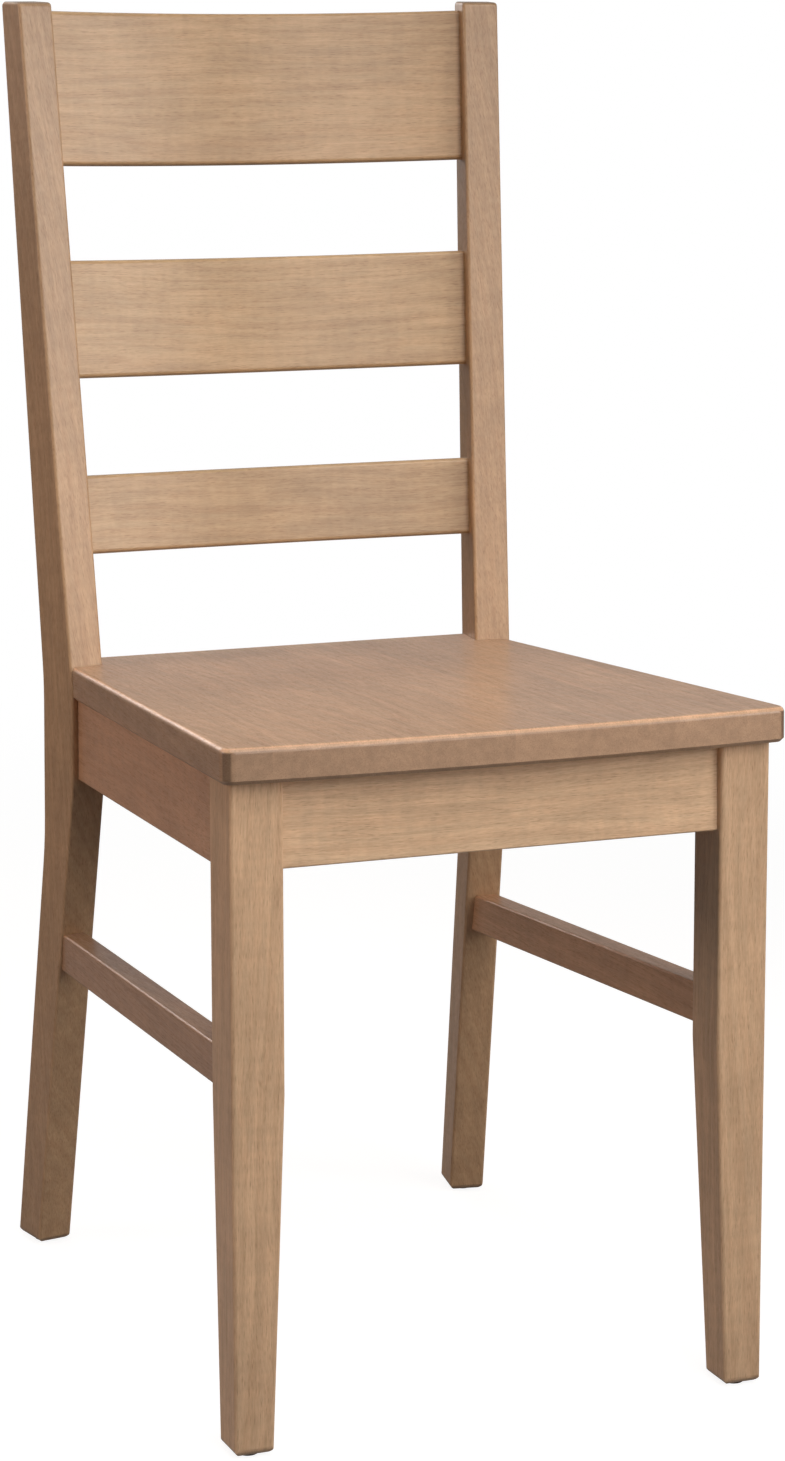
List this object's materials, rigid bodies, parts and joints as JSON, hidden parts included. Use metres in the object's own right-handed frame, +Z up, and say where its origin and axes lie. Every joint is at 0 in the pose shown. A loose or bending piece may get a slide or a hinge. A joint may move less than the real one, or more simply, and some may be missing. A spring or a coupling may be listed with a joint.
{
  "type": "ladderback dining chair",
  "caption": "Wooden dining chair with bent horizontal back slats between toed-in raked posts, a sloping notched plank seat, tapered front legs and side stretchers.",
  "frame": {"origin": "middle of the chair's footprint, on the floor under its glides", "axes": "+Z up, -Y to the front where the sitter's knees go, +X to the right as seen from in front of the chair"},
  "size_m": [0.4048, 0.5204, 0.9315],
  "materials": {
    "posts": "satin lacquer",
    "legs": "satin lacquer",
    "rails": "satin lacquer",
    "stretchers": "satin lacquer",
    "slats": "satin lacquer",
    "seat": "satin lacquer",
    "blocks": "bare, planed",
    "screws": "zinc plated",
    "glides": "matt, moulded"
  },
  "bodies": {
    "root": {"rear_post_left": "posts", "rear_post_right": "posts", "front_leg_left": "legs", "front_leg_right": "legs", "front_rail": "rails", "rear_rail": "rails", "side_rail_left": "rails", "side_rail_right": "rails", "side_stretcher_left": "stretchers", "side_stretcher_right": "stretchers", "top_slat": "slats", "middle_slat": "slats", "bottom_slat": "slats", "corner_block_front_left": "blocks", "corner_block_front_right": "blocks", "corner_block_rear_left": "blocks", "corner_block_rear_right": "blocks", "seat_screws": "screws", "foot_glide_front_left": "glides", "foot_glide_front_right": "glides", "foot_glide_rear_left": "glides", "foot_glide_rear_right": "glides", "seat_stave_1": "seat", "seat_stave_2": "seat", "seat_stave_3": "seat", "seat_stave_4": "seat", "seat_stave_5": "seat", "seat_stave_6": "seat", "seat_stave_7": "seat", "seat_stave_8": "seat"}
  },
  "joints": []
}
